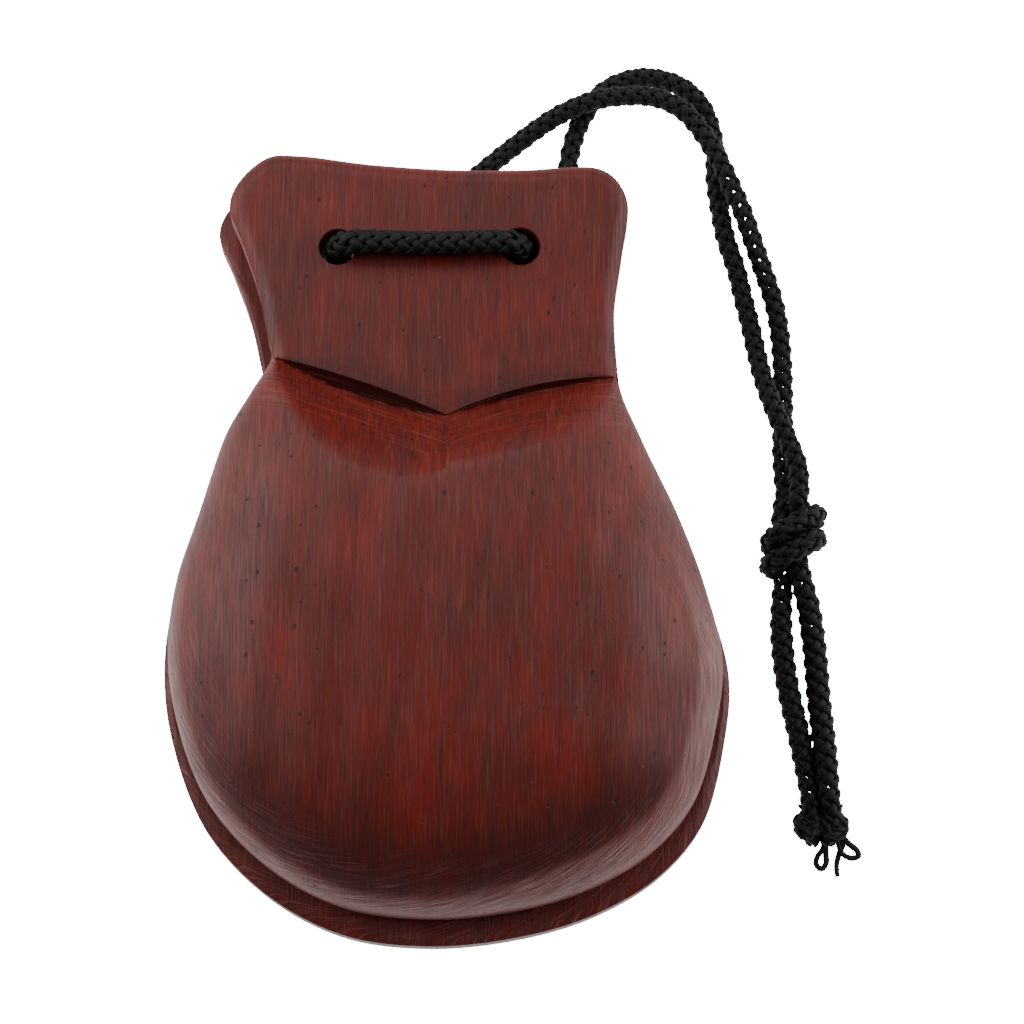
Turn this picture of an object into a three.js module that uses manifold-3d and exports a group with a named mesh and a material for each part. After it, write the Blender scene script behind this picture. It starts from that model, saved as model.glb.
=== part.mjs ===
// A pair of hand-carved wooden castanets strung on one braided cord, lying closed on a table.
// Millimetres, +Z up. +Y runs from the bowls to the ears, and the origin is under the middle of the pair.
import * as THREE from "three";
import { mergeVertices } from "three/addons/utils/BufferGeometryUtils.js";
import Module from "manifold-3d";

const wasm = await Module();
wasm.setup();

// driving dimensions
const pairCentre = [0.3, -1.2];         // places the pair's outline evenly about the origin
const earsDownTilt = THREE.MathUtils.degToRad(3);   // the ears lean down towards the cord under them
const partingHeight = 12.73;            // the plane between the shells, above the table, at the pair's centre
const partingGap = 0.4;                 // between the two inner faces
const domeHeight = 13.2;                // from the inner face to the top of the bowl
const domeCrown = [0.0020, 0.0030];     // how fast the dome falls away across and along
const domeTopY = -8;
const domeRoll = [16, 23];              // how far in from the rim the crown begins: at the sides, at the foot
const domeFullness = 2.6;               // 2 rolls over like a circle, more is fuller
const rimEdge = 3.0;                    // height of the upright edge round the bowl
const rimRise = 2.5;                    // how much higher the edge is where the bowl meets the ear
const earThickness = 7.2;
const earRoll = [1.7, 0.75];            // width and drop of the ear's rounded edge
const earRollPower = 2.2;
const earBow = 0.0016;                  // the ear's face is slightly round across
const grooveWidth = [1.3, 0.65];        // of the V's steep upper face, on its left and right arm
const grooveDepth = [1.9, 1.2];
const facetSlope = [0.74, 0.82];        // of the carved faces that rise from the V to the dome
const vTip = [-0.3, 15.0];              // the point of the V
const vLeftArm = [0.46, -0.0055];       // rise of each arm: linear and square terms
const vRightArm = [0.475, -0.0125];
const vArmSpan = 19.2;
const vSwell = [0.03, 0.99];            // where along a half wave the cut begins at the tip and ends at the edge
const vSwellPower = 0.8;
const bowlCentre = [0, -10];
const bowlRadius = 22;
const bowlDepth = 8;
const holeX = [-12.6, 8.0];
const holeY = 34.5;
const holeDiameter = 4.2;
const earReliefSlope = 0.155;           // the ears' inner faces fall away past the holes, so the shells rock
const rearScale = 1.025;                // the rear shell is carved a little larger
const rearTurn = THREE.MathUtils.degToRad(1.2);
const rearShift = [0.1, -1.9];
const cordDiameter = 2.4;               // of the plain cord solids, inside the braid's 2.5
const cordSides = 8;
const touchGap = 0.35;
const spokes = 72;

// The outline of a shell, anticlockwise from the right end of the ear's top edge.
const outlinePoints = [
  [16.8, 44.0], [8.0, 43.7], [0.0, 43.7], [-9.2, 44.4], [-17.0, 45.5], [-20.6, 45.4],
  [-24.0, 42.4], [-24.9, 39.6], [-23.6, 36.0], [-21.6, 30.2], [-20.4, 24.5], [-19.9, 22.0],
  [-22.2, 18.0], [-25.0, 13.4], [-28.0, 4.3], [-30.3, -3.2], [-31.1, -10.5], [-30.2, -18.0],
  [-26.7, -27.4], [-20.0, -34.8], [-12.0, -39.2], [-3.2, -40.6], [5.8, -40.0], [14.4, -37.8],
  [22.0, -33.6], [27.0, -27.8], [29.6, -19.0], [30.3, -12.0], [28.6, -4.3], [25.5, 4.4],
  [21.4, 13.1], [19.2, 18.0], [18.7, 21.6], [18.5, 27.5], [19.5, 35.0], [20.1, 39.8], [18.9, 42.6],
];
const outline = new THREE.CatmullRomCurve3(
  outlinePoints.map(([x, y]) => new THREE.Vector3(x, y, 0)), true, "centripetal");
outline.arcLengthDivisions = 840;
const outlineSamples = outline.getSpacedPoints(spokes * 10);

// the carved surface of a shell
function vGrooveY(x) {
  const t = Math.abs(x - vTip[0]);
  const [rise, bend] = x < vTip[0] ? vLeftArm : vRightArm;
  return vTip[1] + rise * t + bend * t * t;
}

function distanceToEdge(x, y) {
  return Math.min(...outlineSamples.map((sample) => Math.hypot(sample.x - x, sample.y - y)));
}

function rollOver(edgeDistance, width) {
  const t = Math.min(1, edgeDistance / width);
  return Math.sqrt(1 - (1 - t) ** domeFullness);
}

function domeSurface(x, y, edgeDistance) {
  const top = domeHeight - domeCrown[0] * x * x - domeCrown[1] * (y - domeTopY) ** 2;
  const towardsFoot = THREE.MathUtils.smoothstep(-y, 2, 36);
  const rollWidth = THREE.MathUtils.lerp(...domeRoll, towardsFoot);
  const rim = rimEdge + rimRise * THREE.MathUtils.smoothstep(y, 8, 21);
  return rim + (top - rim) * rollOver(edgeDistance, rollWidth);
}

function earSurface(x, edgeDistance) {
  const [width, drop] = earRoll;
  const rounded = Math.max(0, 1 - edgeDistance / width) ** earRollPower;
  return earThickness - earBow * x * x - drop * rounded;
}

// The V is cut in two strokes: a steep face down from the ear, then a long facet up onto the dome.
function outerHeight(x, y) {
  const edgeDistance = distanceToEdge(x, y);
  const ear = earSurface(x, edgeDistance);
  const below = vGrooveY(x) - y;
  if (below <= 0) return ear;
  const side = x < vTip[0] ? 0 : 1;
  const arm = Math.min(1, Math.abs(x - vTip[0]) / vArmSpan);
  const swell = Math.sin(Math.PI * THREE.MathUtils.lerp(...vSwell, arm)) ** vSwellPower;
  const width = grooveWidth[side] * swell;
  const depth = grooveDepth[side] * swell;
  if (below < width) return ear - depth * (below / width) ** vSwellPower;
  return Math.min(domeSurface(x, y, edgeDistance), ear - depth + facetSlope[side] * (below - width));
}

function innerHeight(x, y) {
  const fromCentre = Math.hypot(x - bowlCentre[0], y - bowlCentre[1]) / bowlRadius;
  const hollow = fromCentre < 1 ? bowlDepth * (1 - fromCentre ** 2) ** 0.7 : 0;
  const relief = Math.max(0, y - holeY) * earReliefSlope;
  return partingGap / 2 + hollow + relief;
}

// Where a spoke from the bowl's centre crosses the V groove, as a share of its length.
function grooveShare(end) {
  const fallback = 0.66;
  const share = (s) => {
    const x = bowlCentre[0] + s * (end.x - bowlCentre[0]);
    const y = bowlCentre[1] + s * (end.y - bowlCentre[1]);
    return y - vGrooveY(x);
  };
  if (end.y < 0 || share(0.92) < 0) {
    const nearEar = THREE.MathUtils.smoothstep(end.y, -5, 20);
    return fallback + (0.92 - fallback) * nearEar;
  }
  let [low, high] = [0.3, 0.92];
  for (let i = 0; i < 30; i += 1) {
    const middle = (low + high) / 2;
    if (share(middle) < 0) low = middle;
    else high = middle;
  }
  return low;
}

// One shell: a sphere whose rows become the outer face, the upright edge and the inner face.
const outerRows = [0, 0.3, 0.55, 0.75, 0.9, 0.96, 0.999, 1.001, 1.12, 1.3, 1.5, 1.68, 1.82, 1.92, 1.975, 2];
const innerRows = [2, 1.6, 1.02, 1, 0.95, 0.85, 0.65, 0.35, 0];

function outerPoint(end, row) {
  const groove = grooveShare(end);
  const share = row <= 1 ? groove * row : groove + (1 - groove) * (row - 1);
  const x = bowlCentre[0] + share * (end.x - bowlCentre[0]);
  const y = bowlCentre[1] + share * (end.y - bowlCentre[1]);
  return new THREE.Vector3(x, y, outerHeight(x, y));
}

function innerPoint(end, row) {
  const dx = end.x - bowlCentre[0];
  const dy = end.y - bowlCentre[1];
  const lip = bowlRadius / Math.hypot(dx, dy);
  const share = row <= 1 ? lip * row : lip + (1 - lip) * (row - 1);
  const x = bowlCentre[0] + share * dx;
  const y = bowlCentre[1] + share * dy;
  return new THREE.Vector3(x, y, innerHeight(x, y));
}

function shellGeometry() {
  const rows = outerRows.length + innerRows.length;
  const geometry = new THREE.SphereGeometry(1, spokes, rows - 1);
  const position = geometry.getAttribute("position");
  for (let i = 0; i <= spokes; i += 1) {
    const end = outline.getPointAt((i % spokes) / spokes);
    for (let j = 0; j < rows; j += 1) {
      const point = j < outerRows.length
        ? outerPoint(end, outerRows[j])
        : innerPoint(end, innerRows[j - outerRows.length]);
      position.setXYZ(j * (spokes + 1) + i, point.x, point.y, point.z);
    }
  }
  return geometry;
}

// solids and cuts
function closedForm(geometry) {
  const bare = geometry.clone();
  bare.deleteAttribute("normal");
  bare.deleteAttribute("uv");
  return mergeVertices(bare, 1e-4);
}

function solid(geometry) {
  const form = closedForm(geometry);
  return new wasm.Manifold(new wasm.Mesh({
    numProp: 3,
    vertProperties: new Float32Array(form.getAttribute("position").array),
    triVerts: new Uint32Array(form.getIndex().array),
  }));
}

function backToGeometry(manifold) {
  const mesh = manifold.getMesh();
  const geometry = new THREE.BufferGeometry();
  geometry.setAttribute("position", new THREE.BufferAttribute(mesh.vertProperties, 3));
  geometry.setIndex(new THREE.BufferAttribute(mesh.triVerts, 1));
  geometry.computeVertexNormals();
  return geometry;
}

function reverseFaces(geometry) {
  const index = geometry.getIndex();
  for (let i = 0; i < index.count; i += 3) {
    const second = index.getX(i + 1);
    index.setX(i + 1, index.getX(i + 2));
    index.setX(i + 2, second);
  }
  return geometry;
}

function drilled(body) {
  let result = body;
  for (const x of holeX) {
    const drill = new THREE.CylinderGeometry(holeDiameter / 2, holeDiameter / 2, 40, 20);
    drill.rotateX(Math.PI / 2);
    drill.translate(x, holeY, 0);
    result = result.subtract(solid(drill));
  }
  return result;
}

const pairPlace = new THREE.Matrix4().makeRotationX(-earsDownTilt);
pairPlace.setPosition(0, 0, partingHeight);

function frontShell() {
  const geometry = backToGeometry(drilled(solid(shellGeometry())));
  return geometry.applyMatrix4(pairPlace);
}

function rearShell() {
  const larger = new THREE.Matrix4()
    .makeTranslation(bowlCentre[0] + rearShift[0], bowlCentre[1] + rearShift[1], 0)
    .multiply(new THREE.Matrix4().makeRotationZ(rearTurn))
    .multiply(new THREE.Matrix4().makeScale(rearScale, rearScale, -1))
    .multiply(new THREE.Matrix4().makeTranslation(-bowlCentre[0], -bowlCentre[1], 0));
  const mirrored = reverseFaces(closedForm(shellGeometry()).applyMatrix4(larger));
  const sandedFlat = new THREE.BoxGeometry(100, 120, 10).translate(0, 0, -5);
  sandedFlat.applyMatrix4(pairPlace.clone().invert());
  const geometry = backToGeometry(drilled(solid(mirrored)).subtract(solid(sandedFlat)));
  return geometry.applyMatrix4(pairPlace);
}

// the cord, one length in stretches that meet face to face
function cordTube(points, steps, curveType = "centripetal") {
  const path = new THREE.CatmullRomCurve3(points.map((p) => new THREE.Vector3(...p)), false, curveType);
  const section = new THREE.Shape();
  section.absarc(0, 0, cordDiameter / 2, 0, Math.PI * 2, false);
  return new THREE.ExtrudeGeometry(section, { extrudePath: path, steps, curveSegments: cordSides / 2 });
}

function bead(centre, radii) {
  const geometry = new THREE.SphereGeometry(1, 14, 9);
  geometry.scale(...radii);
  return geometry.translate(...centre);
}

function inPair(x, y, z) {
  const point = new THREE.Vector3(x, y, z).applyMatrix4(pairPlace);
  return [point.x, point.y, point.z];
}

const lie = 1.38;       // height of the cord's middle where it lies on the table
const over = 4.2;       // and where one strand passes over the other
const bridgeLift = earThickness + 1.55;

function bridgeRoute() {
  const [left, right] = holeX;
  return [
    inPair(left, holeY, touchGap), inPair(left, holeY, 3.5), inPair(left + 0.1, holeY, 6.6),
    inPair(left + 1.2, holeY, bridgeLift - 0.25), inPair(left + 3.2, holeY, bridgeLift + 0.1),
    inPair(-2.3, holeY - 0.2, bridgeLift + 0.1), inPair(right - 3.2, holeY, bridgeLift + 0.1),
    inPair(right - 1.2, holeY, bridgeLift - 0.25), inPair(right - 0.1, holeY, 6.6),
    inPair(right, holeY, 3.5), inPair(right, holeY, touchGap),
  ];
}

const leftLegRoute = [
  inPair(holeX[0], holeY, -touchGap), inPair(holeX[0], holeY, -3.5), inPair(holeX[0], holeY, -6.8),
  [-12.1, 34.3, 2.6], [-10.9, 35.2, 1.5], [-7.6, 38.0, lie], [-2.9, 42.3, lie], [2.1, 46.7, lie],
  [7.0, 50.6, 2.1], [12.0, 53.9, 3.5], [16.1, 55.6, over], [20.2, 56.3, 4.1], [23.8, 56.1, 4.0],
  [26.8, 54.6, 4.1], [29.0, 52.0, over], [30.9, 48.8, over], [32.5, 45.4, 3.9], [33.9, 42.3, 3.1],
  [35.0, 39.3, 2.2], [36.1, 36.2, 1.6], [37.2, 32.9, lie], [37.9, 29.4, lie], [38.2, 25.9, lie],
  [38.3, 22.4, lie], [38.3, 18.9, lie], [38.1, 15.5, lie], [38.2, 12.0, lie], [38.4, 9.8, 1.5],
  [38.5, 7.6, 1.7],
];

const rightLegRoute = [
  inPair(holeX[1], holeY, -touchGap), inPair(holeX[1], holeY, -3.5), inPair(holeX[1], holeY, -6.8),
  [8.3, 34.6, 2.5], [9.0, 35.8, 1.5], [10.8, 39.4, lie], [12.3, 43.2, lie], [13.3, 47.0, lie],
  [13.9, 50.6, lie], [15.0, 53.9, lie], [17.2, 57.2, lie], [20.1, 58.9, lie], [23.2, 59.3, lie],
  [26.8, 58.2, lie], [29.2, 55.8, lie], [30.6, 51.4, lie], [30.7, 47.0, lie], [31.2, 43.2, lie],
  [31.9, 39.7, lie], [33.0, 36.3, lie], [33.8, 32.8, lie], [34.6, 29.4, 1.6], [35.3, 25.8, 2.1],
  [36.1, 22.2, 3.2], [37.3, 18.5, over], [38.7, 15.2, over], [39.7, 12.4, over], [39.9, 10.2, over],
  [39.7, 7.9, over],
];

const leftTailRoute = [
  [38.0, -1.1, 1.5], [37.8, -4.0, lie], [37.8, -6.9, lie], [38.1, -10.5, lie], [38.7, -14.1, lie],
  [39.4, -17.7, lie], [40.0, -21.2, lie], [40.6, -24.8, lie], [40.9, -27.6, lie],
];

const rightTailRoute = [
  [40.1, -1.1, 3.2], [40.9, -3.6, 2.1], [41.3, -6.3, lie], [41.6, -9.0, lie], [41.9, -11.9, lie],
  [42.2, -14.8, lie], [42.5, -17.7, 1.9], [42.8, -21.3, 2.5], [43.1, -24.9, 2.5], [43.5, -27.6, 1.9],
];

const knotCentre = [39.3, 3.3, 3.15];
const knotRadii = [3.6, 3.8, 3.1];
const endKnotRadii = [1.25, 1.7, 1.3];

// assembly
function finish(color, roughness) {
  return new THREE.MeshStandardMaterial({ color, roughness, metalness: 0 });
}

const wood = finish("#6e2a24", 0.35);
const braid = finish("#1d1b19", 0.85);

const castanets = new THREE.Group();
castanets.position.set(pairCentre[0], pairCentre[1], 0);

function add(name, geometry, material) {
  const mesh = new THREE.Mesh(geometry, material);
  mesh.name = name;
  castanets.add(mesh);
}

add("rear_shell", rearShell(), wood);
add("front_shell", frontShell(), wood);
add("cord_bridge", cordTube(bridgeRoute(), 24), braid);
add("cord_leg_left", cordTube(leftLegRoute, 44), braid);
add("cord_leg_right", cordTube(rightLegRoute, 44), braid);
add("thumb_loop_knot", bead(knotCentre, knotRadii), braid);
add("cord_tail_left", cordTube(leftTailRoute, 10), braid);
add("cord_tail_right", cordTube(rightTailRoute, 10), braid);
add("end_knot_left", bead([40.9, -29.7, 1.4], endKnotRadii), braid);
add("end_knot_right", bead([43.7, -29.7, 1.55], endKnotRadii), braid);

export default castanets;
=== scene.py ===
import math

import bpy
import numpy as np
from mathutils import Matrix, Vector


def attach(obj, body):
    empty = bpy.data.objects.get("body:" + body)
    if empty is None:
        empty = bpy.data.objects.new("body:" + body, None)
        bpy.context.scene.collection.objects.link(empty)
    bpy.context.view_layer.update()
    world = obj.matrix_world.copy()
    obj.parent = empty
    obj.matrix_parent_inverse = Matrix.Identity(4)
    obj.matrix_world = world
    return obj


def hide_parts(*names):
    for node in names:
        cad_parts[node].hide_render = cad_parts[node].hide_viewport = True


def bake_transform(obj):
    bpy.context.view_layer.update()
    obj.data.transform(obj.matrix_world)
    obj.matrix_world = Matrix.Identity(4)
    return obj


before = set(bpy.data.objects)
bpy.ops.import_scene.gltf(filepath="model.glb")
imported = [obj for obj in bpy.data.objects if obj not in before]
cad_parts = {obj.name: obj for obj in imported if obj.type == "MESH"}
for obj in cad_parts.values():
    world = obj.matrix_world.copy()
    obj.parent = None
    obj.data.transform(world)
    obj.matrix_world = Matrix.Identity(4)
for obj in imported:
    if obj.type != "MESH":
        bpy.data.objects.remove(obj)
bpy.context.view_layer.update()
mm = 0.001

# How the closed pair lies on the table, in millimetres
pair = {
    "centre": (0.3, -1.2),
    "earsDownTilt": math.radians(3),
    "partingHeight": 12.73,
    "partingGap": 0.4,
    "holeX": (-12.6, 8.0),
    "holeY": 34.5,
    "holeDiameter": 4.2,
}
pairPlace = Matrix.Translation((*pair["centre"], pair["partingHeight"]))
pairPlace = pairPlace @ Matrix.Rotation(-pair["earsDownTilt"], 4, "X")


def inPair(x, y, z):
    return tuple(pairPlace @ Vector((x, y, z)))


def onTable(points):
    return [(x + pair["centre"][0], y + pair["centre"][1], z) for x, y, z in points]


def deselectAll():
    if bpy.context.object and bpy.context.object.mode != "OBJECT":
        bpy.ops.object.mode_set(mode="OBJECT")
    bpy.ops.object.select_all(action="DESELECT")


def applyModifier(piece, modifier):
    bpy.context.view_layer.objects.active = piece
    bpy.ops.object.modifier_apply(modifier=modifier.name)


# A smooth curve through the points, as rows of (x, y, z) spaced evenly along it
def smoothLine(points, step, closed=False):
    p = np.array(points, float)
    if closed:
        p = np.vstack([p[-1], p, p[0], p[1]])
    else:
        p = np.vstack([2 * p[0] - p[1], p, 2 * p[-1] - p[-2]])
    gap = np.maximum(np.linalg.norm(np.diff(p, axis=0), axis=1), 1e-6) ** 0.5
    t = np.linspace(0, 1, 40, endpoint=False)[:, None]
    dense = []
    for i in range(1, len(p) - 2):
        a, b, c, d = p[i - 1:i + 3]
        g0, g1, g2 = gap[i - 1:i + 2]
        leave = ((b - a) / g0 - (c - a) / (g0 + g1) + (c - b) / g1) * g1
        arrive = ((c - b) / g1 - (d - b) / (g1 + g2) + (d - c) / g2) * g1
        dense.append(b + leave * t + (3 * (c - b) - 2 * leave - arrive) * t ** 2
                     + (leave + arrive - 2 * (c - b)) * t ** 3)
    dense = np.vstack([*dense, p[-2]])
    along = np.append(0, np.cumsum(np.linalg.norm(np.diff(dense, axis=0), axis=1)))
    count = max(2, round(along[-1] / step) + 1)
    even = np.linspace(0, along[-1], count)
    if closed:
        even = even[:-1]
    return np.stack([np.interp(even, along, dense[:, k]) for k in range(dense.shape[1])], axis=1)


# The camera looks almost straight down, from a little in front
camera = {"lens": 150.7, "distance": 480, "elevation": math.radians(79.5), "target": (7.3, 4.1, 13.7)}
towardsEye = Vector((0, -math.cos(camera["elevation"]), math.sin(camera["elevation"])))
bpy.ops.object.camera_add(location=(Vector(camera["target"]) + towardsEye * camera["distance"]) * mm)
eye = bpy.context.object
eye.data.lens = camera["lens"]
eye.rotation_mode = "QUATERNION"
eye.rotation_quaternion = (-towardsEye).to_track_quat("-Z", "Y")
eye.data.clip_start = 0.01
eye.data.clip_end = 20
bpy.context.scene.camera = eye
print("camera placed")

# The cord is one length of hollow braid, from one end knot round to the other
cord = {
    "diameter": 2.5,
    "yarnsEachWay": 4,
    "lay": 6.8,             # length of one turn of a yarn
    "yarnWidth": 0.80,      # narrow enough to leave small gaps between the yarns
    "yarnThickness": 0.38,
    "weave": 0.17,          # how far a yarn rises and falls at a crossing
    "step": 0.3,
    "lie": 1.38,            # height of its middle on the table
    "over": 4.2,            # and where one strand passes over the other
    "core": 0.8,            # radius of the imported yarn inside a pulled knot, where no gap shows through
    "bridgeSwell": 1.2,     # the braid is fuller where it bridges the two holes
    "tailSwells": (1.14, 1.2),       # and looser on the tails
}
lie, over = cord["lie"], cord["over"]
bridgeLift = 8.75
left, right = pair["holeX"]
holeY = pair["holeY"]

lacingRoute = [
    *onTable([(-10.9, 35.2, 1.5), (-12.1, 34.3, 2.6)]),
    inPair(left, holeY, -6.8), inPair(left, holeY, -3.5), inPair(left, holeY, -0.35),
    inPair(left, holeY, 0.35), inPair(left, holeY, 3.5), inPair(left + 0.1, holeY, 6.6),
    inPair(left + 1.2, holeY, bridgeLift - 0.25), inPair(left + 3.2, holeY, bridgeLift + 0.1),
    inPair(-2.3, holeY - 0.2, bridgeLift + 0.1), inPair(right - 3.2, holeY, bridgeLift + 0.1),
    inPair(right - 1.2, holeY, bridgeLift - 0.25), inPair(right - 0.1, holeY, 6.6),
    inPair(right, holeY, 3.5), inPair(right, holeY, 0.35),
    inPair(right, holeY, -0.35), inPair(right, holeY, -3.5), inPair(right, holeY, -6.8),
    *onTable([(8.3, 34.6, 2.5), (9.0, 35.8, 1.5)]),
]
leftLegRoute = onTable([
    (-10.9, 35.2, 1.5), (-7.6, 38.0, lie), (-2.9, 42.3, lie), (2.1, 46.7, lie),
    (7.0, 50.6, 2.1), (12.0, 53.9, 3.5), (16.1, 55.6, over), (20.2, 56.3, 4.1), (23.8, 56.1, 4.0),
    (26.8, 54.6, 4.1), (29.0, 52.0, over), (30.9, 48.8, over), (32.5, 45.4, 3.9), (33.9, 42.3, 3.1),
    (35.0, 39.3, 2.2), (36.1, 36.2, 1.6), (37.2, 32.9, lie), (37.9, 29.4, lie), (38.2, 25.9, lie),
    (38.3, 22.4, lie), (38.3, 18.9, lie), (38.1, 15.5, lie), (38.2, 12.0, lie), (38.4, 9.8, 1.5),
    (38.5, 7.6, 1.7),
])
rightLegRoute = onTable([
    (9.0, 35.8, 1.5), (10.8, 39.4, lie), (12.3, 43.2, lie), (13.3, 47.0, lie),
    (13.9, 50.6, lie), (15.0, 53.9, lie), (17.2, 57.2, lie), (20.1, 58.9, lie), (23.2, 59.3, lie),
    (26.8, 58.2, lie), (29.2, 55.8, lie), (30.6, 51.4, lie), (30.7, 47.0, lie), (31.2, 43.2, lie),
    (31.9, 39.7, lie), (33.0, 36.3, lie), (33.8, 32.8, lie), (34.6, 29.4, 1.6), (35.3, 25.8, 2.1),
    (36.1, 22.2, 3.2), (37.3, 18.5, over), (38.7, 15.2, over), (39.7, 12.4, over), (39.9, 10.2, over),
    (39.7, 7.9, over),
])
# each tail starts inside the thumb loop's knot and ends inside its own small knot
leftTailRoute = onTable([
    (38.3, 1.2, 2.2), (38.0, -1.1, 1.6), (37.8, -4.0, 1.5), (37.8, -6.9, 1.5), (38.1, -10.5, 1.5),
    (38.7, -14.1, 1.5), (39.5, -17.7, 1.5), (40.2, -21.2, 1.5), (40.8, -24.8, 1.5), (41.05, -27.6, 1.5),
    (40.9, -29.4, 1.4),
])
rightTailRoute = onTable([
    (39.3, 3.2, 2.8), (39.8, 1.0, 3.0), (40.2, -1.1, 3.0), (40.9, -3.6, 2.1), (41.3, -6.3, 1.65),
    (41.6, -9.0, 1.6), (41.8, -11.9, 1.6), (42.0, -14.8, 1.7), (42.3, -17.7, 2.1), (42.6, -21.3, 2.5),
    (42.9, -24.9, 2.5), (43.3, -27.6, 2.0), (43.7, -29.4, 1.6),
])


# Two vectors square to the line at every point, carried along it without twist
def framesAlong(line):
    tangent = np.gradient(line, axis=0)
    tangent /= np.linalg.norm(tangent, axis=1)[:, None]
    side = np.zeros_like(line)
    first = np.cross(tangent[0], (0, 0, 1))
    if np.linalg.norm(first) < 0.3:
        first = np.cross(tangent[0], (0, 1, 0))
    side[0] = first / np.linalg.norm(first)
    for i in range(1, len(line)):
        carried = side[i - 1] - tangent[i] * np.dot(side[i - 1], tangent[i])
        side[i] = carried / np.linalg.norm(carried)
    return side, np.cross(tangent, side)


# One yarn of the braid as a flattened tube: its ring corners, and their place along and round it
def yarnRings(line, side, other, along, turn, start, size):
    n = cord["yarnsEachWay"]
    angle = turn * 2 * math.pi * along / cord["lay"] + start
    mean = cord["diameter"] / 2 - cord["weave"] - cord["yarnThickness"] / 2
    radius = (mean + turn * cord["weave"] * np.cos(2 * math.pi * n * along / cord["lay"])) * size
    outward = side * np.cos(angle)[:, None] + other * np.sin(angle)[:, None]
    middle = line + outward * radius[:, None]
    tangent = np.gradient(middle, axis=0)
    tangent /= np.linalg.norm(tangent, axis=1)[:, None]
    across = np.cross(tangent, outward)
    across /= np.linalg.norm(across, axis=1)[:, None]
    sides = 8
    rings = []
    for k in range(sides):
        a = 2 * math.pi * k / sides
        half = cord["yarnWidth"] / 2 * math.cos(a)
        lift = cord["yarnThickness"] / 2 * math.sin(a)
        rings.append(middle + (across * half + outward * lift) * size[:, None])
    return np.stack(rings, axis=1)


# A closed tube from rings of corners, with its length and girth in millimetres as its UV map
def tubesToMesh(name, tubes):
    corners, faces, uvs = [], [], []
    for rings in tubes:
        base = sum(len(c) for c in corners)
        count, sides = rings.shape[:2]
        middle = rings.mean(axis=1)
        along = np.append(0, np.cumsum(np.linalg.norm(np.diff(middle, axis=0), axis=1)))
        corners.append(rings.reshape(-1, 3))
        for i in range(count - 1):
            for k in range(sides):
                m = (k + 1) % sides
                a = base + i * sides
                faces.append((a + k, a + m, a + sides + m, a + sides + k))
                u, v = (k / sides, (k + 1) / sides), (along[i], along[i + 1])
                uvs += [(u[0], v[0]), (u[1], v[0]), (u[1], v[1]), (u[0], v[1])]
        faces.append(tuple(base + k for k in reversed(range(sides))))
        faces.append(tuple(base + (count - 1) * sides + k for k in range(sides)))
        uvs += [(0, 0)] * (2 * sides)
    mesh = bpy.data.meshes.new(name)
    mesh.from_pydata((np.vstack(corners) * mm).tolist(), [], faces)
    layer = mesh.uv_layers.new(name="yarn")
    layer.data.foreach_set("uv", np.array(uvs, np.float32).ravel())
    mesh.polygons.foreach_set("use_smooth", [True] * len(faces))
    piece = bpy.data.objects.new(name, mesh)
    bpy.context.collection.objects.link(piece)
    return piece


def braid(name, lines, starts, sizes, packed=False):
    tubes = []
    n = cord["yarnsEachWay"]
    for line, start, size in zip(lines, starts, sizes):
        side, other = framesAlong(line)
        along = start + np.append(0, np.cumsum(np.linalg.norm(np.diff(line, axis=0), axis=1)))
        if packed:
            ring = []
            for k in range(8):
                a = math.pi * k / 4
                ring.append(line + (side * math.cos(a) + other * math.sin(a)) * (cord["core"] * size)[:, None])
            tubes.append(np.stack(ring, axis=1))
        for turn in (1, -1):
            for k in range(n):
                tubes.append(yarnRings(line, side, other, along, turn, 2 * math.pi * k / n, size))
    return tubesToMesh(name, tubes)


# How much fuller or tighter than usual the braid is along a line, easing in from both ends
def squeezed(line, squeeze, ease):
    along = np.append(0, np.cumsum(np.linalg.norm(np.diff(line, axis=0), axis=1)))
    fromEnd = np.minimum(along, along[-1] - along)
    t = np.clip(fromEnd / ease, 0, 1)
    return 1 + (squeeze - 1) * t * t * (3 - 2 * t)


def addCord(name, node, route, swell=1.0):
    line = smoothLine(route, cord["step"])
    piece = braid(name, [line], [0], [squeezed(line, swell, 10)])
    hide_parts(node)
    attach(piece, "rear")
    return piece


# The overhand knot that both strands make together: the middle of the pair, then half the gap between them
knot = {
    "centre": (39.5, 2.4, 0),
    "squeeze": 1.08,
    "turns": [
        ((-0.4, 5.35, 2.95), (0.6, 0.15, 1.25)),
        ((-0.2, 3.6, 2.8), (1.05, 0.0, 0.7)),
        ((-0.2, 1.2, 2.4), (1.1, 0.1, 0.1)),
        ((-1.2, -0.9, 1.9), (0.85, 0.6, -0.2)),
        ((-2.4, -1.6, 2.0), (0.3, 1.15, -0.3)),
        ((-2.7, -1.2, 3.3), (0.0, 1.25, 0.1)),
        ((-1.8, -0.6, 4.6), (-0.25, 1.25, 0.2)),
        ((0.0, 0.4, 5.1), (-0.45, 1.15, 0.1)),
        ((1.8, 1.5, 4.6), (-0.35, 1.3, -0.1)),
        ((2.6, 1.9, 3.2), (0.0, 1.45, 0.0)),
        ((2.1, 1.5, 1.8), (0.2, 1.25, 0.1)),
        ((0.3, 0.5, 1.5), (0.4, 1.0, 0.0)),
        ((-1.3, -0.5, 1.7), (0.6, 0.8, 0.1)),
        ((-1.0, -1.4, 2.4), (0.85, 0.45, 0.2)),
    ],
}


def thumbLoopKnot():
    lines = []
    for sign in (1, -1):
        route = []
        for middle, half in knot["turns"]:
            route.append([c + m + sign * h for c, m, h in zip(knot["centre"], middle, half)])
        lines.append(smoothLine(route, cord["step"]))
    sizes = [squeezed(line, knot["squeeze"], 3) for line in lines]
    piece = braid("thumbLoopKnot", lines, [0, 1], sizes, packed=True)
    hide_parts("thumb_loop_knot")
    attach(piece, "rear")
    return piece


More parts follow.
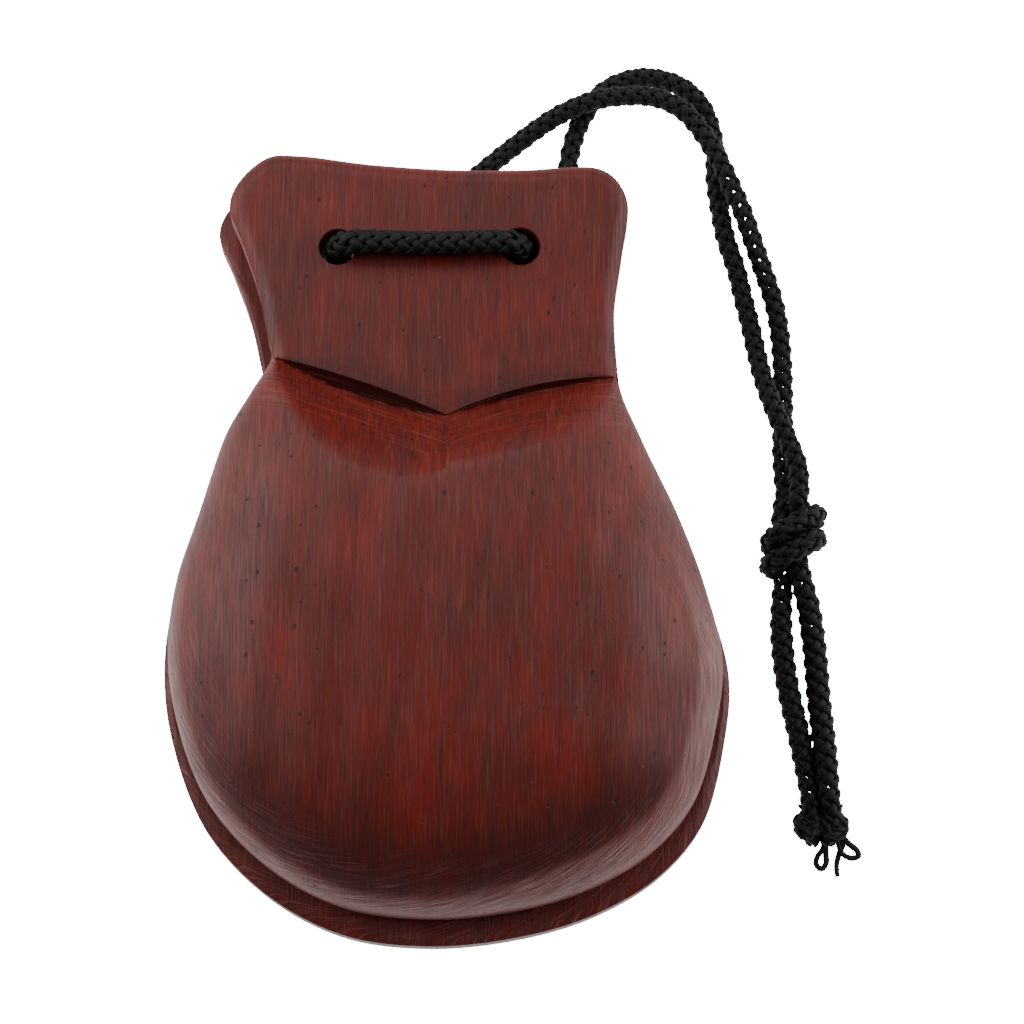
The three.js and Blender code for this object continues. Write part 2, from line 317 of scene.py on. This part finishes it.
# The small knots that keep the two cut ends from unravelling
endKnots = {
    "squeeze": 0.74,
    "turns": [
        (0.0, 2.6, 1.4), (0.6, 1.1, 1.5), (0.8, -0.3, 2.0), (0.0, -1.2, 2.4), (-0.9, -0.6, 2.1),
        (-0.8, 0.6, 1.4), (0.0, 1.0, 1.1), (0.8, 0.2, 1.0), (0.5, -1.0, 1.2), (0.0, -1.9, 1.35),
    ],
    "left": (40.9, -29.7, 0.0),
    "right": (43.7, -29.8, 0.15),
}


def endKnot(name, node, centre, mirrored):
    route = [(centre[0] + mirrored * x, centre[1] + y, centre[2] + z) for x, y, z in endKnots["turns"]]
    line = smoothLine(route, cord["step"] / 2)
    piece = braid(name, [line], [0], [squeezed(line, endKnots["squeeze"], 1.2)], packed=True)
    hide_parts(node)
    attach(piece, "rear")
    return piece


# Loose yarns at the cut ends
frays = {
    "thickness": 0.8,
    "yarns": [
        [(42.2, -30.9, 1.0), (42.8, -31.9, 0.7), (42.9, -32.9, 0.5), (42.9, -34.0, 0.4), (42.4, -34.6, 0.4),
         (41.8, -34.1, 0.4), (41.9, -33.3, 0.5), (42.5, -32.4, 0.75), (42.7, -31.5, 1.0)],
        [(44.6, -30.9, 1.1), (44.8, -31.8, 0.85), (44.4, -32.9, 0.55), (44.1, -34.2, 0.4), (44.2, -35.5, 0.4)],
        [(44.6, -30.9, 1.2), (45.5, -31.8, 0.9), (46.4, -32.5, 0.6), (46.6, -33.1, 0.5), (45.9, -33.4, 0.5),
         (45.0, -33.1, 0.7), (44.4, -32.3, 0.95), (44.2, -31.4, 1.1)],
    ],
}


def looseYarns():
    tubes = []
    for route in frays["yarns"]:
        line = smoothLine(route, 0.15)
        side, other = framesAlong(line)
        along = np.arange(len(line)) * 0.15
        taper = frays["thickness"] / 2 * (1 - 0.25 * along / along[-1])
        ring = []
        for k in range(8):
            a = 2 * math.pi * k / 8 + along * 2.0
            flat = np.cos(a)[:, None] * side + 0.7 * np.sin(a)[:, None] * other
            ring.append(line + flat * taper[:, None])
        tubes.append(np.stack(ring, axis=1))
    piece = tubesToMesh("looseYarns", tubes)
    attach(piece, "rear")
    return piece


def lacing():
    line = smoothLine(lacingRoute, cord["step"])
    piece = braid("lacing", [line], [0], [squeezed(line, cord["bridgeSwell"], 12)])
    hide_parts("cord_bridge")
    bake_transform(piece)
    return piece


thumbKnot = thumbLoopKnot()
leftEndKnot = endKnot("endKnotLeft", "end_knot_left", endKnots["left"], 1)
rightEndKnot = endKnot("endKnotRight", "end_knot_right", endKnots["right"], -1)
yarnEnds = looseYarns()
bridge = lacing()
leftLeg = addCord("legLeft", "cord_leg_left", leftLegRoute)
rightLeg = addCord("legRight", "cord_leg_right", rightLegRoute)
cordPieces = [thumbKnot, leftEndKnot, rightEndKnot, yarnEnds, bridge, leftLeg, rightLeg]
cordPieces.append(addCord("tailLeft", "cord_tail_left", leftTailRoute,
                          cord["tailSwells"][0]))
cordPieces.append(addCord("tailRight", "cord_tail_right", rightTailRoute,
                          cord["tailSwells"][1]))
print("cord braided")

# The two shells share one carving
shell = {
    "bowlCentre": (0.0, -10.0),
    "bowlRadius": 22.0,
    "bowlDepth": 8.0,
    "domeHeight": 13.2,
    "domeCrown": (0.0020, 0.0030),
    "domeTopY": -8.0,
    "domeRoll": (16.0, 23.0),        # how far in from the rim the crown begins, at the sides and at the foot
    "domeFullness": 2.6,             # 2 rolls over like a circle, more is fuller
    "rimEdge": 3.0,
    "rimRise": 2.5,                  # how much higher the rim is where the bowl meets the ear
    "arris": 0.5,                    # the softened lower edge of the rim
    "earThickness": 7.2,
    "earRoll": (1.7, 0.75),          # width and drop of the ear's rounded edge
    "earRollPower": 2.2,
    "earBow": 0.0016,
    "grooveWidth": (1.3, 0.65),      # the V's steep upper face, on its left and right arm
    "grooveDepth": (1.9, 1.2),
    "facetSlope": (0.74, 0.82),
    "vTip": (-0.3, 15.0),
    "vLeftArm": (0.46, -0.0055),
    "vRightArm": (0.475, -0.0125),
    "vArmSpan": 19.2,
    "vSwell": (0.03, 0.99),          # where along a half wave the cut begins at the tip and ends at the edge
    "vSwellPower": 0.8,
    "handMarks": 0.05,               # the unevenness that a file leaves
    "filedBand": (1.9, 3.3),         # the rim's filed band, on its left and right side
    "footShadeBand": 8.5,              # and the painted shade above it, at the foot, where the dome rolls over
    "earReliefSlope": 0.155,
    "rearScale": 1.025,
    "rearTurn": math.radians(1.2),
    "rearShift": (0.1, -1.9),
    "spokes": 432,
    "outerRows": 130,
    "innerRows": 44,
}
shellOutline = [
    (16.8, 44.0), (8.0, 43.7), (0.0, 43.7), (-9.2, 44.4), (-17.0, 45.5), (-20.6, 45.4),
    (-24.0, 42.4), (-24.9, 39.6), (-23.6, 36.0), (-21.6, 30.2), (-20.4, 24.5), (-19.9, 22.0),
    (-22.2, 18.0), (-25.0, 13.4), (-28.0, 4.3), (-30.3, -3.2), (-31.1, -10.5), (-30.2, -18.0),
    (-26.7, -27.4), (-20.0, -34.8), (-12.0, -39.2), (-3.2, -40.6), (5.8, -40.0), (14.4, -37.8),
    (22.0, -33.6), (27.0, -27.8), (29.6, -19.0), (30.3, -12.0), (28.6, -4.3), (25.5, 4.4),
    (21.4, 13.1), (19.2, 18.0), (18.7, 21.6), (18.5, 27.5), (19.5, 35.0), (20.1, 39.8), (18.9, 42.6),
]


def vGrooveY(x):
    t = np.abs(x - shell["vTip"][0])
    onLeft = x < shell["vTip"][0]
    rise = np.where(onLeft, shell["vLeftArm"][0], shell["vRightArm"][0])
    bend = np.where(onLeft, shell["vLeftArm"][1], shell["vRightArm"][1])
    return shell["vTip"][1] + rise * t + bend * t * t


def smoothstep(t):
    t = np.clip(t, 0, 1)
    return t * t * (3 - 2 * t)


# Distance from each point to the outline
def distanceToEdge(x, y, edge):
    distance = np.empty(len(x))
    for first in range(0, len(x), 4000):
        part = slice(first, first + 4000)
        dx = x[part, None] - edge[None, :, 0]
        dy = y[part, None] - edge[None, :, 1]
        distance[part] = np.sqrt((dx * dx + dy * dy).min(axis=1))
    return distance


def domeSurface(x, y, fromEdge):
    top = shell["domeHeight"] - shell["domeCrown"][0] * x * x
    top = top - shell["domeCrown"][1] * (y - shell["domeTopY"]) ** 2
    sides, foot = shell["domeRoll"]
    towardsFoot = smoothstep((-y - 2) / 34)
    t = np.minimum(1, fromEdge / (sides + (foot - sides) * towardsFoot))
    rim = shell["rimEdge"] + shell["rimRise"] * smoothstep((y - 8) / 13)
    return rim + (top - rim) * np.sqrt(1 - (1 - t) ** shell["domeFullness"])


def earSurface(x, fromEdge):
    width, drop = shell["earRoll"]
    rounded = np.maximum(0, 1 - fromEdge / width) ** shell["earRollPower"]
    return shell["earThickness"] - shell["earBow"] * x * x - drop * rounded


# The V is cut in two strokes: a steep face down from the ear, then a long facet up onto the dome
def grooveCut(x):
    t = np.abs(x - shell["vTip"][0])
    onLeft = x < shell["vTip"][0]
    swell = np.interp(t / shell["vArmSpan"], (0, 1), shell["vSwell"])
    swell = np.sin(math.pi * swell) ** shell["vSwellPower"]
    width = np.where(onLeft, *shell["grooveWidth"]) * swell
    depth = np.where(onLeft, *shell["grooveDepth"]) * swell
    return width, depth, np.where(onLeft, *shell["facetSlope"])


def outerHeight(x, y, fromEdge):
    ear = earSurface(x, fromEdge)
    below = vGrooveY(x) - y
    width, depth, slope = grooveCut(x)
    # the two facets run into each other softly below the tip
    t = np.abs(x - shell["vTip"][0])
    soft = 0.3 * np.maximum(0, below - 1)
    merged = 0.46 * (np.sqrt(t * t + soft * soft) - soft * np.exp(-t / np.maximum(soft, 1e-3)) - t)
    steep = ear - depth * np.clip(below / width, 0, 1) ** shell["vSwellPower"]
    facet = ear - depth + slope * np.maximum(0, below + merged - width)
    facet = np.where(below < width, steep, facet)
    dome = domeSurface(x, y, fromEdge)
    marks = np.sin(0.55 * x + 0.21 * y) * np.sin(0.33 * y - 0.4 * x + 1.0) + 0.6 * np.sin(0.9 * x - 0.13 * y)
    dome = dome + shell["handMarks"] * marks * np.minimum(1, fromEdge / 5)
    blend = 0.3        # how softly the facet runs into the dome
    carved = -blend * np.logaddexp(-dome / blend, -facet / blend)
    return np.where(below <= 0, ear, carved)


def innerHeight(x, y, fromEdge=None):
    cx, cy = shell["bowlCentre"]
    r = np.hypot(x - cx, y - cy) / shell["bowlRadius"]
    hollow = shell["bowlDepth"] * np.maximum(0, 1 - r * r) ** 0.7
    relief = np.maximum(0, y - pair["holeY"]) * shell["earReliefSlope"]
    arris = 0.0
    if fromEdge is not None:
        arris = shell["arris"] * np.maximum(0, 1 - fromEdge / shell["arris"]) ** 2
    return pair["partingGap"] / 2 + hollow + relief + arris


# Share of each spoke's length at which it crosses the V groove
def grooveShare(ends):
    cx, cy = shell["bowlCentre"]
    farthest, usual = 0.992, 0.66
    dx, dy = ends[:, 0] - cx, ends[:, 1] - cy

    def past(s):
        return cy + s * dy - vGrooveY(cx + s * dx)

    low, high = np.full(len(ends), 0.3), np.full(len(ends), farthest)
    for _ in range(30):
        middle = (low + high) / 2
        under = past(middle) < 0
        low, high = np.where(under, middle, low), np.where(under, high, middle)
    nearEar = usual + (0.95 - usual) * smoothstep((ends[:, 1] + 5) / 25)
    crosses = (ends[:, 1] >= 0) & (past(farthest) >= 0)
    return np.where(crosses, low, nearEar)


# A shell in its own frame: inner face down, outer face up
def carveShell(name):
    spokes, outer, inner = shell["spokes"], shell["outerRows"], shell["innerRows"]
    ends = smoothLine([(x, y, 0) for x, y in shellOutline], 0.5, closed=True)
    perimeter = np.append(0, np.cumsum(np.linalg.norm(np.diff(np.vstack([ends, ends[:1]]), axis=0), axis=1)))
    even = np.linspace(0, perimeter[-1], spokes * 5, endpoint=False)
    loop = np.vstack([ends, ends[:1]])
    edge = np.stack([np.interp(even, perimeter, loop[:, k]) for k in range(2)], axis=1)
    ends = edge[::5]
    rows = outer + inner
    deselectAll()
    bpy.ops.mesh.primitive_uv_sphere_add(segments=spokes, ring_count=rows - 1, radius=1)
    piece = bpy.context.object
    piece.name = name
    mesh = piece.data
    place = np.empty(len(mesh.vertices) * 3)
    mesh.vertices.foreach_get("co", place)
    place = place.reshape(-1, 3)
    row = np.rint(np.arccos(np.clip(place[:, 2], -1, 1)) / math.pi * (rows - 1)).astype(int)
    spoke = np.rint(np.arctan2(place[:, 1], place[:, 0]) / (2 * math.pi) * spokes).astype(int) % spokes

    cx, cy = shell["bowlCentre"]
    groove = grooveShare(ends)
    half = outer // 2
    q = np.linspace(0, 1, half)
    toGroove = 1 - (1 - q) ** 1.4
    beyond = np.sin(np.linspace(0.06, 1, outer - half) * math.pi / 2)
    step = np.concatenate([toGroove * 0.9995, 1 + beyond])
    lip = shell["bowlRadius"] / np.hypot(ends[:, 0] - cx, ends[:, 1] - cy)
    insideStep = np.concatenate([np.linspace(2, 1.02, inner // 3),
                                 np.sin(np.linspace(1, 0, inner - inner // 3) * math.pi / 2)])
    onOuter = row < outer
    g = groove[spoke]
    r = step[np.minimum(row, outer - 1)]
    share = np.where(r <= 1, g * r, g + (1 - g) * (r - 1))
    i = insideStep[np.clip(row - outer, 0, inner - 1)]
    b = lip[spoke]
    shareIn = np.where(i <= 1, b * i, b + (1 - b) * (i - 1))
    share = np.where(onOuter, share, shareIn)
    x = cx + share * (ends[spoke, 0] - cx)
    y = cy + share * (ends[spoke, 1] - cy)
    fromEdge = distanceToEdge(x, y, edge)
    z = np.where(onOuter, outerHeight(x, y, fromEdge), innerHeight(x, y, fromEdge))
    mesh.vertices.foreach_set("co", np.stack([x, y, z], axis=1).ravel())
    mesh.update()
    return piece


# The rear shell is the same carving turned over, a little larger and a little askew
def rearPattern():
    cx, cy = shell["bowlCentre"]
    larger = Matrix.Diagonal((shell["rearScale"], shell["rearScale"], -1, 1))
    shift = Matrix.Translation((cx + shell["rearShift"][0], cy + shell["rearShift"][1], 0))
    return shift @ Matrix.Rotation(shell["rearTurn"], 4, "Z") @ larger @ Matrix.Translation((-cx, -cy, 0))


# A tapered bit cuts each hole, and its flared shoulder eases the hole's mouth
def drillHole(piece, x, outward):
    radius = pair["holeDiameter"] / 2
    mouth = shell["earThickness"] * outward
    for kind, size in (("bore", (radius, radius, 30.0, 0.0)), ("flare", (radius - 0.2, radius + 0.75, 0.95, 1.0))):
        deselectAll()
        low, high, depth, atMouth = size
        bpy.ops.mesh.primitive_cone_add(
            vertices=64, radius1=low, radius2=high, depth=depth, location=(x, pair["holeY"], mouth * atMouth),
            rotation=(0 if outward > 0 else math.pi, 0, 0))
        bit = bpy.context.object
        bit.name = kind
        cut = piece.modifiers.new(kind, "BOOLEAN")
        cut.operation = "DIFFERENCE"
        cut.solver = "EXACT"
        cut.object = bit
        applyModifier(piece, cut)
        bpy.data.objects.remove(bit, do_unlink=True)


# Marks where the carver's faces, the filed rim, the painted shade along the foot and the painted shade in the V's
# corner are, for the finish to read
def markSurface(piece, toPattern):
    mesh = piece.data
    place = np.empty(len(mesh.vertices) * 3)
    mesh.vertices.foreach_get("co", place)
    matrix = np.array(toPattern)
    p = place.reshape(-1, 3) @ matrix[:3, :3].T + matrix[:3, 3]
    x, y, z = p.T
    edge = smoothLine([(a, b, 0) for a, b in shellOutline], 0.25, closed=True)
    fromEdge = distanceToEdge(x, y, edge)
    outside = (z > shell["rimEdge"] - 0.05) & (z > innerHeight(x, y) + 1.0)
    below = vGrooveY(x) - y
    steps = np.arange(len(edge)) * 0.25
    nearest = np.empty(len(x))
    for first in range(0, len(x), 4000):
        part = slice(first, first + 4000)
        d = np.hypot(x[part, None] - edge[None, :, 0], y[part, None] - edge[None, :, 1])
        nearest[part] = steps[d.argmin(axis=1)]
    slope = smoothstep((7.0 - fromEdge) / 4.5)
    leftBand, rightBand = shell["filedBand"]
    band = leftBand + (rightBand - leftBand) * smoothstep((x + 8) / 26)
    width = grooveCut(x)[0]
    marks = {
        "facet": smoothstep((7.5 - below) / 2.5) * smoothstep((below + 0.1) / 0.3) * outside,
        "rim": slope * smoothstep((10 - y) / 8) * (z > 0.05),
        # the filed band, painted paler: partly the paler filed wood, partly a painted highlight where the rim's
        # chamfer catches the light
        "filed": smoothstep((band - fromEdge) / 1.3) * smoothstep((1 - y) / 14) * outside,
        # painted shade: the dark band at the foot, where the dome rolls over above the filed rim
        "footShade": (smoothstep((fromEdge - band + 1.6) / 2.2) * outside * smoothstep((-y - 17) / 13)
                   * smoothstep((band + shell["footShadeBand"] - fromEdge) / 7)),
        # painted shade in the V's corner, under the ear's edge
        "groove": smoothstep((1.25 * width - below) / 0.4) * smoothstep((below + 0.05) / 0.1) * outside,
    }
    for name, values in marks.items():
        layer = mesh.attributes.new(name, "FLOAT", "POINT")
        layer.data.foreach_set("value", values.astype(np.float32))
    # the scratches' own directions: along and across the V's arms, and along and across the rim
    alongArm = np.stack([x, below, np.sign(x)], axis=1) * mm
    alongRim = np.stack([nearest, fromEdge + 0.8 * z - 0.3 * nearest, 0 * z], axis=1) * mm
    for name, values in (("alongArm", alongArm), ("alongRim", alongRim)):
        layer = mesh.attributes.new(name, "FLOAT_VECTOR", "POINT")
        layer.data.foreach_set("vector", values.astype(np.float32).ravel())


def makeShell(name, node, body, pattern, outward):
    piece = carveShell(name)
    piece.data.transform(pattern)
    if outward < 0:
        piece.data.flip_normals()
    for x in pair["holeX"]:
        drillHole(piece, x, outward)
    piece.data.transform(pairPlace)
    if outward < 0:        # the sanded flat that it rests on
        deselectAll()
        bpy.context.view_layer.objects.active = piece
        piece.select_set(True)
        bpy.ops.object.mode_set(mode="EDIT")
        bpy.ops.mesh.select_all(action="SELECT")
        bpy.ops.mesh.bisect(plane_co=(0, 0, 0), plane_no=(0, 0, 1), clear_inner=True, use_fill=True)
        bpy.ops.object.mode_set(mode="OBJECT")
    markSurface(piece, (pairPlace @ pattern).inverted())
    piece.data.transform(Matrix.Scale(mm, 4))
    deselectAll()
    bpy.context.view_layer.objects.active = piece
    piece.select_set(True)
    bpy.ops.object.shade_smooth_by_angle(angle=math.radians(35))
    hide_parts(node)
    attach(piece, body)
    print(name, "carved:", len(piece.data.polygons), "faces")
    return piece


frontShell = makeShell("frontShell", "front_shell", "front", Matrix.Identity(4), 1)
rearShell = makeShell("rearShell", "rear_shell", "rear", rearPattern(), -1)


# Finishes
def colour(code):
    channels = [int(code[i:i + 2], 16) / 255 for i in (1, 3, 5)]
    linear = [c / 12.92 if c <= 0.04045 else ((c + 0.055) / 1.055) ** 2.4 for c in channels]
    return (*linear, 1.0)


def addNode(tree, kind, inputs=None, **settings):
    node = tree.nodes.new(kind)
    for key, value in settings.items():
        setattr(node, key, value)
    for key, value in (inputs or {}).items():
        if isinstance(value, bpy.types.NodeSocket):
            tree.links.new(value, node.inputs[key])
        else:
            node.inputs[key].default_value = value
    return node


def newFinish(name):
    finish = bpy.data.materials.new(name)
    finish.use_nodes = True
    finish.node_tree.nodes.clear()
    return finish, finish.node_tree


rosewood = {
    "base": "#65180f",
    "roughness": 0.44,
    "relief": 0.00006,      # metres from the deepest mark to the highest
    # size: across, along and through the grain in mm; range: which part of the noise shows
    "layers": [
        {"size": (6, 10, 6), "range": (0.45, 0.66), "share": 0.46, "colour": "#841a0f", "detail": 6},
        {"size": (7, 17, 8), "range": (0.45, 0.7), "share": 0.5, "colour": "#44120f", "turn": 0.09,
         "shift": 3.1, "detail": 5},
        {"size": (1.5, 20, 6), "range": (0.48, 0.72), "share": 0.2, "colour": "#3c100d", "turn": -0.05, "detail": 3},
        {"size": (2.6, 12, 6), "range": (0.55, 0.72), "share": 0.35, "colour": "#4a2727", "shift": 7.7, "detail": 4},
        {"size": (0.3, 6, 2.2), "range": (0.48, 0.7), "share": 0.28, "colour": "#2c0b08", "lift": -0.5, "detail": 3},
        {"size": (0.15, 5, 1.8), "range": (0.48, 0.66), "share": 0.56, "colour": "#280a07", "lift": -0.7,
         "shift": 1.9, "detail": 2},
        {"size": (0.17, 6, 1.8), "range": (0.54, 0.7), "share": 0.26, "colour": "#8d453b", "lift": 0.7,
         "shift": 5.3, "detail": 1},
    ],
    "facetShare": 0.32,
    "facetColour": "#7d180d",
}
# small round marks, one to a cell: the open pores, and specks of dust caught in the lacquer
rosewoodDots = [
    {"cell": (1.2, 1.6, 3), "radius": 0.19, "share": 0.75, "colour": "#1c0705", "lift": -2.0},
    {"cell": (2.3, 2.9, 4), "radius": 0.12, "share": 0.8, "colour": "#0e0403", "lift": -2.0},
    {"cell": (4.3, 5.1, 5), "radius": 0.035, "share": 0.75, "colour": "#b9a49b", "lift": 1.0},
]
# scratches that follow the file: along the V's arms, and slanting along the rim
rosewoodScratches = [
    {"along": "alongArm", "on": "facet", "size": (12, 0.24, 4), "range": (0.48, 0.68), "share": 0.4,
     "colour": "#310d09", "lift": -1.2},
    {"along": "alongArm", "on": "facet", "size": (8, 0.18, 4), "range": (0.56, 0.72), "share": 0.3,
     "colour": "#9c554a", "lift": 0.8},
    {"along": "alongRim", "on": "rim", "size": (6, 0.15, 1), "range": (0.54, 0.72), "share": 0.3,
     "colour": "#9c6a63", "lift": 1.0},
    {"along": "alongRim", "on": "rim", "size": (8, 0.18, 1), "range": (0.52, 0.7), "share": 0.4,
     "colour": "#2c0e0b", "lift": -1.0},
    # pale scratches on the filed band: partly real file marks, partly a painted highlight on the rim's chamfer
    {"along": "alongRim", "on": "filed", "size": (5, 0.13, 1), "range": (0.44, 0.66), "share": 0.6,
     "colour": "#a98d88", "lift": 1.0},
]
# painted shade in the V's corner and along the foot above the filed rim; the filed rim is painted paler, partly the
# paler filed wood and partly a painted highlight
paintedShadeAndFiledBand = [
    # painted shade along the foot
    {"on": "footShade", "share": 0.64, "colour": "#270503"},
    # the filed rim painted paler: partly paler filed wood, partly a painted highlight
    {"on": "filed", "share": 0.24, "colour": "#8a625d"},
    # painted shade in the V's corner
    {"on": "groove", "share": 0.8, "colour": "#1c0503"},
]


# Stained rosewood, carved and sanded by hand and lacquered: straight grain, dark pores, satin gloss
def lacqueredRosewood():
    finish, tree = newFinish("lacqueredRosewood")
    where = addNode(tree, "ShaderNodeTexCoord").outputs["Object"]
    tone, height = colour(rosewood["base"]), 0.0
    marks = []
    for layer in rosewood["layers"]:
        mapping = addNode(tree, "ShaderNodeMapping", {
            "Vector": where, "Location": (layer.get("shift", 0), 0, 0), "Rotation": (0, 0, layer.get("turn", 0)),
            "Scale": [size * mm for size in layer["size"]]}, vector_type="TEXTURE")
        noise = addNode(tree, "ShaderNodeTexNoise", {
            "Vector": mapping.outputs["Vector"], "Scale": 1.0, "Detail": layer.get("detail", 0)})
        marks.append((layer, noise.outputs["Fac"], layer["range"], None))
    for layer in rosewoodDots:
        mapping = addNode(tree, "ShaderNodeMapping", {
            "Vector": where, "Scale": [size * mm for size in layer["cell"]]}, vector_type="TEXTURE")
        cell = addNode(tree, "ShaderNodeTexVoronoi", {"Vector": mapping.outputs["Vector"], "Scale": 1.0})
        # half of the cells stay empty, because the radius is scaled by the cell's own random red
        chance = addNode(tree, "ShaderNodeSeparateColor", {"Color": cell.outputs["Color"]}).outputs["Red"]
        radius = addNode(tree, "ShaderNodeMapRange", {
            "Value": chance, "From Min": 0.45, "From Max": 1.0, "To Max": layer["radius"]}).outputs["Result"]
        inside = addNode(tree, "ShaderNodeMath", {0: radius, 1: cell.outputs["Distance"]}, operation="SUBTRACT")
        marks.append((layer, inside.outputs[0], (0.0, 0.03), None))
    # painted shade at the foot and in the V's corner, and the paler filed band
    for layer in paintedShadeAndFiledBand:
        stain = addNode(tree, "ShaderNodeAttribute", attribute_name=layer["on"]).outputs["Fac"]
        marks.append((layer, stain, (0.0, 1.0), None))
    for layer in rosewoodScratches:
        along = addNode(tree, "ShaderNodeAttribute", attribute_name=layer["along"]).outputs["Vector"]
        mapping = addNode(tree, "ShaderNodeMapping", {
            "Vector": along, "Scale": [size * mm for size in layer["size"]]}, vector_type="TEXTURE")
        noise = addNode(tree, "ShaderNodeTexNoise", {"Vector": mapping.outputs["Vector"], "Scale": 1.0, "Detail": 1})
        marks.append((layer, noise.outputs["Fac"], layer["range"], layer["on"]))

    facet = addNode(tree, "ShaderNodeAttribute", attribute_name="facet").outputs["Fac"]
    redder = addNode(tree, "ShaderNodeMath", {0: facet, 1: rosewood["facetShare"]}, operation="MULTIPLY")
    for number, (layer, value, (low, high), mask) in enumerate(marks):
        share = addNode(tree, "ShaderNodeMapRange", {
            "Value": value, "From Min": low, "From Max": high, "To Max": layer["share"]}).outputs["Result"]
        if mask:
            masked = addNode(tree, "ShaderNodeAttribute", attribute_name=mask).outputs["Fac"]
            share = addNode(tree, "ShaderNodeMath", {0: share, 1: masked}, operation="MULTIPLY").outputs[0]
        tone = addNode(tree, "ShaderNodeMix", {0: share, 6: tone, 7: colour(layer["colour"])},
                       data_type="RGBA").outputs[2]
        if number == 1:
            tone = addNode(tree, "ShaderNodeMix", {0: redder.outputs[0], 6: tone, 7: colour(rosewood["facetColour"])},
                           data_type="RGBA").outputs[2]
        if "lift" in layer:
            height = addNode(tree, "ShaderNodeMath", {0: share, 1: layer["lift"], 2: height},
                             operation="MULTIPLY_ADD").outputs[0]

    bump = addNode(tree, "ShaderNodeBump", {"Height": height, "Strength": 0.6, "Distance": rosewood["relief"]})
    rough = addNode(tree, "ShaderNodeMapRange", {
        "Value": height, "From Min": -1.0, "From Max": 0.5, "To Min": rosewood["roughness"] + 0.15,
        "To Max": rosewood["roughness"] - 0.05}).outputs["Result"]
    shader = addNode(tree, "ShaderNodeBsdfPrincipled", {
        "Base Color": tone, "Roughness": rough, "IOR": 1.5, "Specular IOR Level": 0.38,
        "Normal": bump.outputs["Normal"]})
    addNode(tree, "ShaderNodeOutputMaterial", {"Surface": shader.outputs["BSDF"]})
    return finish


braidYarn = {"shade": "#0b0a09", "light": "#1b1917", "filament": 0.07, "roughness": 0.62}


# Black polyester yarn, spun from filaments: matt black with a faint shine along each bundle
def blackYarn():
    finish, tree = newFinish("blackPolyesterYarn")
    where = addNode(tree, "ShaderNodeUVMap", uv_map="yarn").outputs["UV"]
    girth = 2.1         # round a yarn, in mm
    mapping = addNode(tree, "ShaderNodeMapping", {
        "Vector": where, "Scale": (girth / braidYarn["filament"], 1 / 1.2, 1)})
    strands = addNode(tree, "ShaderNodeTexNoise", {
        "Vector": mapping.outputs["Vector"], "Scale": 1.0, "Detail": 2}).outputs["Fac"]
    shade = addNode(tree, "ShaderNodeMix", {0: strands, 6: colour(braidYarn["shade"]), 7: colour(braidYarn["light"])},
                    data_type="RGBA")
    bump = addNode(tree, "ShaderNodeBump", {"Height": strands, "Strength": 0.5, "Distance": 0.00005})
    shader = addNode(tree, "ShaderNodeBsdfPrincipled", {
        "Base Color": shade.outputs[2], "Roughness": braidYarn["roughness"], "IOR": 1.5,
        "Normal": bump.outputs["Normal"], "Specular IOR Level": 0.25})
    addNode(tree, "ShaderNodeOutputMaterial", {"Surface": shader.outputs["BSDF"]})
    return finish


def setFinish(piece, finish):
    piece.data.materials.clear()
    piece.data.materials.append(finish)


wood = lacqueredRosewood()
yarn = blackYarn()
for piece in (frontShell, rearShell):
    setFinish(piece, wood)
for piece in cordPieces:
    setFinish(piece, yarn)
print("finishes set")

# Floor and lights
studio = {
    "floorShade": "#f2f2f2",
    "floorGlow": 1.0,           # the light table's own light
    "whiteOut": 15.0,           # and how far the table and the tent behind it wash out to white
    "lights": {
        "leftSoftbox": {"place": (-460, 160, 330), "size": 480, "power": 2.75},
        "rightSoftbox": {"place": (480, 130, 310), "size": 440, "power": 2.45},
        "backSoftbox": {"place": (-60, 430, 460), "size": 360, "power": 1.1},
    },
    "aim": (0, 0, 10),
    "air": "#e6e8ea",
    "airStrength": 0.12,
}


# What the camera sees of the light table and of the tent is washed out to white; what lights the object is not
def washedOut(tree, strength):
    seen = addNode(tree, "ShaderNodeLightPath").outputs["Is Camera Ray"]
    return addNode(tree, "ShaderNodeMath", {0: seen, 1: studio["whiteOut"], 2: strength},
                   operation="MULTIPLY_ADD").outputs[0]


def lightTable():
    deselectAll()
    bpy.ops.mesh.primitive_plane_add(size=3.0, location=(0, 0, 0))
    floor = bpy.context.object
    floor.name = "floor"
    finish, tree = newFinish("frostedWhiteAcrylic")
    shader = addNode(tree, "ShaderNodeBsdfPrincipled", {
        "Base Color": colour(studio["floorShade"]), "Roughness": 0.7, "Emission Color": (1, 1, 1, 1),
        "Emission Strength": washedOut(tree, studio["floorGlow"])})
    addNode(tree, "ShaderNodeOutputMaterial", {"Surface": shader.outputs["BSDF"]})
    setFinish(floor, finish)


def softboxes():
    aim = Vector(studio["aim"]) * mm
    for name, light in studio["lights"].items():
        place = Vector(light["place"]) * mm
        deselectAll()
        bpy.ops.object.light_add(type="AREA", location=place)
        lamp = bpy.context.object
        lamp.name = name
        lamp.data.shape = "SQUARE"
        lamp.data.size = light["size"] * mm
        lamp.data.energy = light["power"]
        lamp.rotation_mode = "QUATERNION"
        lamp.rotation_quaternion = (aim - place).to_track_quat("-Z", "Y")


def lightTent():
    world = bpy.data.worlds.new("lightTent")
    world.use_nodes = True
    air = world.node_tree.nodes["Background"]
    air.inputs["Color"].default_value = colour(studio["air"])
    world.node_tree.links.new(washedOut(world.node_tree, studio["airStrength"]), air.inputs["Strength"])
    bpy.context.scene.world = world


lightTable()
softboxes()
lightTent()
print("studio lit")
